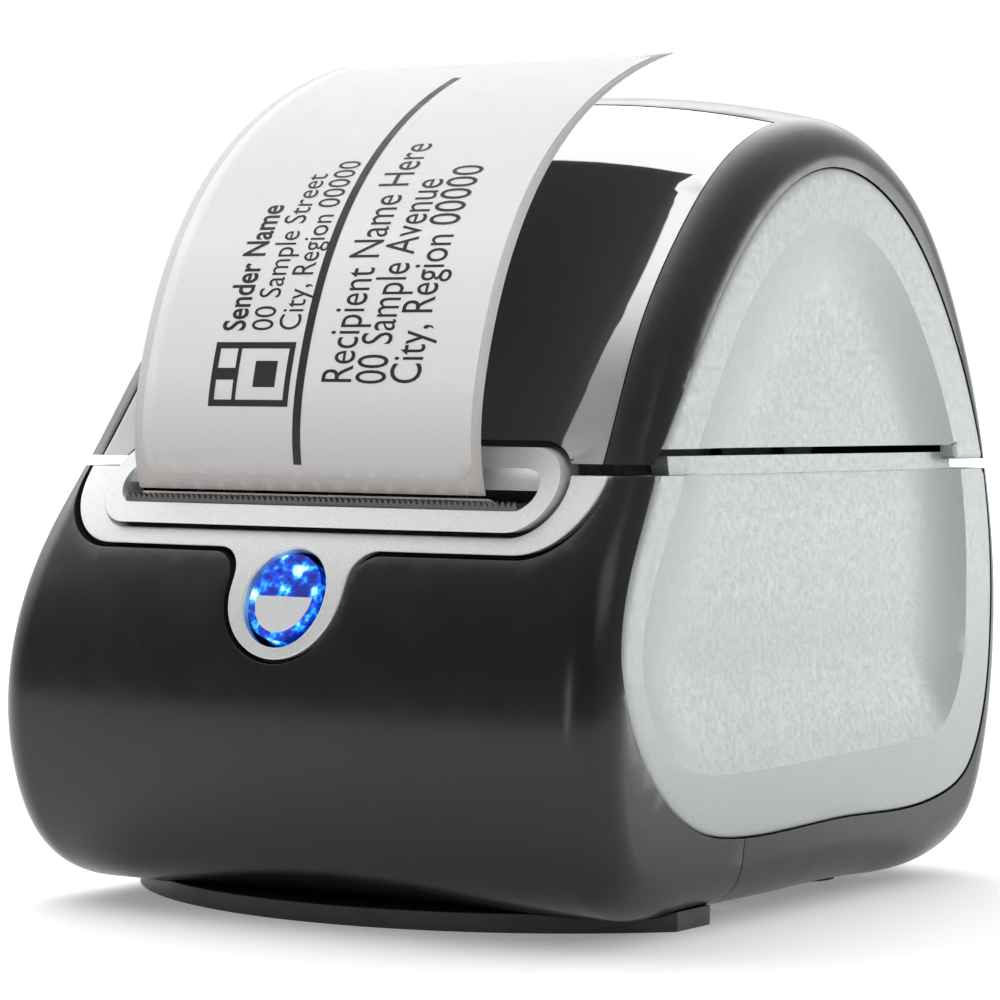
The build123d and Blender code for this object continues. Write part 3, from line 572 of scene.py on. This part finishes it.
def label_route():
    """Middle line of the curled label in (Y, Z), taken from the CAD liner, with its arc lengths."""
    bm = welded_copy("label_liner")
    tree = BVHTree.FromBMesh(bm)
    lo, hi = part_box("label_liner")
    mid_x = (lo.x + hi.x) / 2
    hub = Vector((mid_x, hi.y + 6 * MM, lo.z + 4 * MM))
    route = []
    for i in range(LABEL_STEPS + 1):
        a = math.radians(FIRST_RAY) - math.radians(FIRST_RAY - LAST_RAY) * i / LABEL_STEPS
        hit = tree.ray_cast(hub, Vector((0, math.cos(a), math.sin(a))))[0]
        if hit:
            route.append((hit.y, hit.z))
    bm.free()
    route = np.array(route)
    steps = np.hypot(*np.diff(route, axis=0).T)
    return route, np.concatenate([[0], np.cumsum(steps)])


ROUTE, ARC = label_route()
SLOPE = np.gradient(ROUTE, axis=0)
SLOPE = SLOPE / np.linalg.norm(SLOPE, axis=1)[:, None]
LABEL_LO, LABEL_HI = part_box("label_liner")
LABEL_LENGTH = ARC[-1]


def on_label(u, v, lift):
    """Point on the curled label: u across from its left edge, v up from the slot, lift off the paper."""
    y = np.interp(v, ARC, ROUTE[:, 0])
    z = np.interp(v, ARC, ROUTE[:, 1])
    ty = np.interp(v, ARC, SLOPE[:, 0])
    tz = np.interp(v, ARC, SLOPE[:, 1])
    return Vector((LABEL_LO.x + u, y - tz * lift, z + ty * lift))


def rounded_rect(u0, u1, v0, v1, r):
    """Outline of a flat rectangle with rounded corners."""
    steps = 8
    corners = ((u1 - r, v0 + r, -90), (u1 - r, v1 - r, 0), (u0 + r, v1 - r, 90), (u0 + r, v0 + r, 180))
    points = []
    for cu, cv, start in corners:
        for i in range(steps + 1):
            a = math.radians(start + 90 * i / steps)
            points.append((cu + r * math.cos(a), cv + r * math.sin(a)))
    return points


def filled_outline(outline):
    """Points and triangles that fill an outline, with rows of points along the label."""
    step = 1.2 * MM
    points = []
    for (ua, va), (ub, vb) in zip(outline, outline[1:] + outline[:1]):
        parts = max(1, int(math.hypot(ub - ua, vb - va) / step))
        points += [Vector((ua + (ub - ua) * i / parts, va + (vb - va) * i / parts)) for i in range(parts)]
    edges = [(i, (i + 1) % len(points)) for i in range(len(points))]
    us = [p.x for p in points]
    vs = [p.y for p in points]
    if max(us) - min(us) > 4 * step and max(vs) - min(vs) > 2 * step:
        v = min(vs) + step / 2
        while v < max(vs):
            u = min(us) + step * 2
            while u < max(us):
                points.append(Vector((u, v)))
                u += step * 4
            v += step
    out = geometry.delaunay_2d_cdt(points, edges, [], 1, 1e-7)
    return out[0], out[2]


def flat_on_label(name, outline, lift, smooth_deg):
    """Mesh of a filled outline laid on the curled label."""
    points, faces = filled_outline(outline)
    bm = bmesh.new()
    verts = [bm.verts.new(on_label(p.x, p.y, lift)) for p in points]
    for face in faces:
        bm.faces.new([verts[k] for k in face])
    bmesh.ops.delete(bm, geom=[v for v in bm.verts if not v.link_faces], context="VERTS")
    bmesh.ops.recalc_face_normals(bm, faces=bm.faces)
    return mesh_from(bm, name, smooth_deg)


def sheet_on_label(name, outline, lift, thickness, material, back=None):
    """Thin closed sheet that lies along the curled label."""
    mesh = flat_on_label(name, outline, lift + thickness, 40)
    obj = new_object(name, mesh, material, "base")
    solid = obj.modifiers.new("thickness", "SOLIDIFY")
    solid.thickness = thickness
    solid.offset = 0
    if back:
        mesh.materials.append(back)
        solid.material_offset = 1
    return obj


LINER_SHEET = 0.14 * MM
LINER_LIFT = 0.05 * MM
STICKER_SHEET = 0.1 * MM
STICKER_LIFT = 0.24 * MM
STICKER_FOOT = 2.4 * MM
STICKER_TOP = 1.2 * MM
STICKER_MARGIN = 1.7 * MM
STICKER_R = 3.4 * MM


def make_label():
    """The liner and, with a margin round it, the white label."""
    width = LABEL_HI.x - LABEL_LO.x
    outline = [(0, 0), (width, 0), (width, LABEL_LENGTH), (0, LABEL_LENGTH)]
    # painted shade: the liner's face darkens towards the slot and its top, and its back is painted dark for
    # the shade under the curl
    liner = sheet_on_label("label_liner_sheet", outline, LINER_LIFT, LINER_SHEET, LINER_FACE_PAINTED_SHADE,
                           back=PAINTED_SHADE_LINER_BACK)
    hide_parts("label_liner")
    top = LABEL_LENGTH - STICKER_TOP
    face = rounded_rect(STICKER_MARGIN, width - STICKER_MARGIN, STICKER_FOOT, top, STICKER_R)
    # painted shade: the label's face darkens towards the slot and its top
    sticker = sheet_on_label("label_face_sheet", face, STICKER_LIFT, STICKER_SHEET, LABEL_FACE_PAINTED_SHADE)
    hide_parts("label_sticker")


make_label()


# ---- printing on the label ------------------------------------------------------------------------------
INK_LIFT = 0.43 * MM


def flat_text(words, size, bold=0.0):
    """Mesh of a line of text in its own plane."""
    data = bpy.data.curves.new("words", "FONT")
    data.body = words
    data.size = size
    data.offset = bold
    data.resolution_u = 4
    obj = bpy.data.objects.new("words", data)
    bpy.context.collection.objects.link(obj)
    bpy.context.view_layer.update()
    evaluated = obj.evaluated_get(bpy.context.evaluated_depsgraph_get())
    mesh = bpy.data.meshes.new_from_object(evaluated)
    bpy.data.objects.remove(obj)
    return mesh


def print_text(name, words, size, baseline_u, start_v, length, bold=0.0):
    """A line that reads up the label; its baseline stands at baseline_u and starts at start_v."""
    mesh = flat_text(words, size, bold)
    xs = [v.co.x for v in mesh.vertices]
    squeeze = length / (max(xs) - min(xs))
    bm = bmesh.new()
    bm.from_mesh(mesh)
    bmesh.ops.triangulate(bm, faces=bm.faces)
    long_edges = [e for e in bm.edges if e.calc_length() > 1.0 * MM]
    bmesh.ops.subdivide_edges(bm, edges=long_edges, cuts=2)
    bmesh.ops.triangulate(bm, faces=bm.faces)
    for vert in bm.verts:
        v = start_v + vert.co.x * squeeze
        u = baseline_u - vert.co.y
        vert.co = on_label(u, v, INK_LIFT)
    bmesh.ops.recalc_face_normals(bm, faces=bm.faces)
    new_object(name, mesh_from(bm, name, 60), INK, "base")


def ink_patch(name, outline):
    """A filled printed shape."""
    new_object(name, flat_on_label(name, outline, INK_LIFT, 60), INK, "base")


def bar(u0, u1, v0, v1):
    """Outline of an upright rectangle."""
    return [(u0, v0), (u1, v0), (u1, v1), (u0, v1)]


def make_print():
    """Return address, rule and delivery address, all placeholders."""
    print_text("print_sender_name", "Sender Name", 6.4 * MM, 20.0 * MM, 26.5 * MM, 24 * MM, 0.12 * MM)
    print_text("print_sender_street", "00 Sample Street", 6.2 * MM, 25.6 * MM, 26.5 * MM, 31 * MM)
    print_text("print_sender_city", "City, Region 00000", 6.2 * MM, 31.0 * MM, 26.5 * MM, 34 * MM)
    ink_patch("print_rule", bar(32.2 * MM, 33.8 * MM, 4.5 * MM, 91 * MM))
    print_text("print_name", "Recipient Name Here", 8.6 * MM, 43.0 * MM, 17.5 * MM, 47 * MM)
    print_text("print_street", "00 Sample Avenue", 8.6 * MM, 49.6 * MM, 17.5 * MM, 38 * MM)
    print_text("print_city", "City, Region 00000", 8.6 * MM, 56.2 * MM, 17.5 * MM, 41 * MM)
    # a plain parcel mark: a box outline with its tape
    u0, u1, v0, v1 = 15.0 * MM, 31.0 * MM, 13.8 * MM, 24.6 * MM
    t = 1.1 * MM
    for i, box in enumerate((bar(u0, u1, v0, v0 + t), bar(u0, u1, v1 - t, v1),
                             bar(u0, u0 + t, v0 + t, v1 - t), bar(u1 - t, u1, v0 + t, v1 - t),
                             bar(u0 + 4.6 * MM, u0 + 5.4 * MM, v0 + t, v1 - t),
                             bar(u0 + 1.1 * MM, u0 + 4.6 * MM, v0 + 4.4 * MM, v0 + 6.4 * MM),
                             bar(u0 + 8.6 * MM, u1 - 3 * MM, v0 + 3.2 * MM, v0 + 7.6 * MM))):
        ink_patch("print_parcel_%d" % i, box)


make_print()


# ---- stage ---------------------------------------------------------------------------------------
def make_floor():
    """Wide white table top."""
    mesh = bpy.data.meshes.new("floor")
    s = 6.0
    mesh.from_pydata([(-s, -s, 0), (s, -s, 0), (s, s, 0), (-s, s, 0)], [], [(0, 1, 2, 3)])
    floor = bpy.data.objects.new("floor", mesh)
    bpy.context.collection.objects.link(floor)
    n = Nodes("floor_paper")
    n.join(n.ramp(n.noise(3, 2), "Fac", [(0.3, (0.90, 0.90, 0.90)), (0.7, (0.92, 0.92, 0.92))]),
           "Color", n.shader, "Base Color")
    n.set(Roughness=0.85, Emission_Color=(1.0, 1.0, 1.0, 1.0), Emission_Strength=0.24)
    floor.data.materials.append(n.finish())


def area_light(name, place, target, size_x, size_y, power):
    """Rectangular soft light that faces a target."""
    data = bpy.data.lights.new(name, "AREA")
    data.shape = "RECTANGLE"
    data.size = size_x
    data.size_y = size_y
    data.energy = power
    light = bpy.data.objects.new(name, data)
    bpy.context.collection.objects.link(light)
    light.location = place
    light.rotation_euler = (Vector(target) - Vector(place)).to_track_quat("-Z", "Y").to_euler()


def world_nodes(tree):
    """Brightness of the room by direction: white behind, a bright bank up on the left, dim in front."""
    place = tree.nodes.new("ShaderNodeTexCoord")
    split = tree.nodes.new("ShaderNodeSeparateXYZ")
    tree.links.new(place.outputs["Generated"], split.inputs["Vector"])

    def fade(socket, low, high, to_low, to_high):
        node = tree.nodes.new("ShaderNodeMapRange")
        node.interpolation_type = "SMOOTHSTEP"
        node.inputs["From Min"].default_value = low
        node.inputs["From Max"].default_value = high
        node.inputs["To Min"].default_value = to_low
        node.inputs["To Max"].default_value = to_high
        tree.links.new(split.outputs[socket], node.inputs["Value"])
        return node

    def combine(kind, a, b):
        node = tree.nodes.new("ShaderNodeMath")
        node.operation = kind
        tree.links.new(a.outputs[0], node.inputs[0])
        tree.links.new(b.outputs[0], node.inputs[1])
        return node

    back = fade("Y", -0.80, 0.35, 0.22, 1.0)
    right = fade("X", 0.1, 0.8, 1.0, 0.42)
    room = combine("MULTIPLY", back, right)
    left = fade("X", 0.25, -0.35, 0.0, 1.0)
    high = fade("Z", 0.18, 0.50, 0.0, 1.0)
    not_front = fade("Y", -0.55, 0.10, 0.0, 2.3)
    bank = combine("MULTIPLY", combine("MULTIPLY", left, high), not_front)
    return combine("ADD", room, bank)


def make_lights():
    """The room's brightness, and three area lights for the highlights."""
    world = bpy.data.worlds.new("studio")
    bpy.context.scene.world = world
    world.use_nodes = True
    tree = world.node_tree
    brightness = world_nodes(tree)
    background = tree.nodes["Background"]
    background.inputs["Color"].default_value = (1.0, 1.0, 1.0, 1)
    tree.links.new(brightness.outputs[0], background.inputs["Strength"])
    area_light("back_right", (0.75, 1.25, 0.22), (0.05, 0, 0.06), 0.3, 0.4, 2.1)
    area_light("key", (1.0, -0.35, 0.85), (0, 0, 0.07), 0.5, 0.5, 1.2)
    area_light("corner_strip", (0.25, -1.2, 0.16), (0.05, -0.05, 0.07), 0.10, 0.5, 0.9)


make_floor()
make_lights()
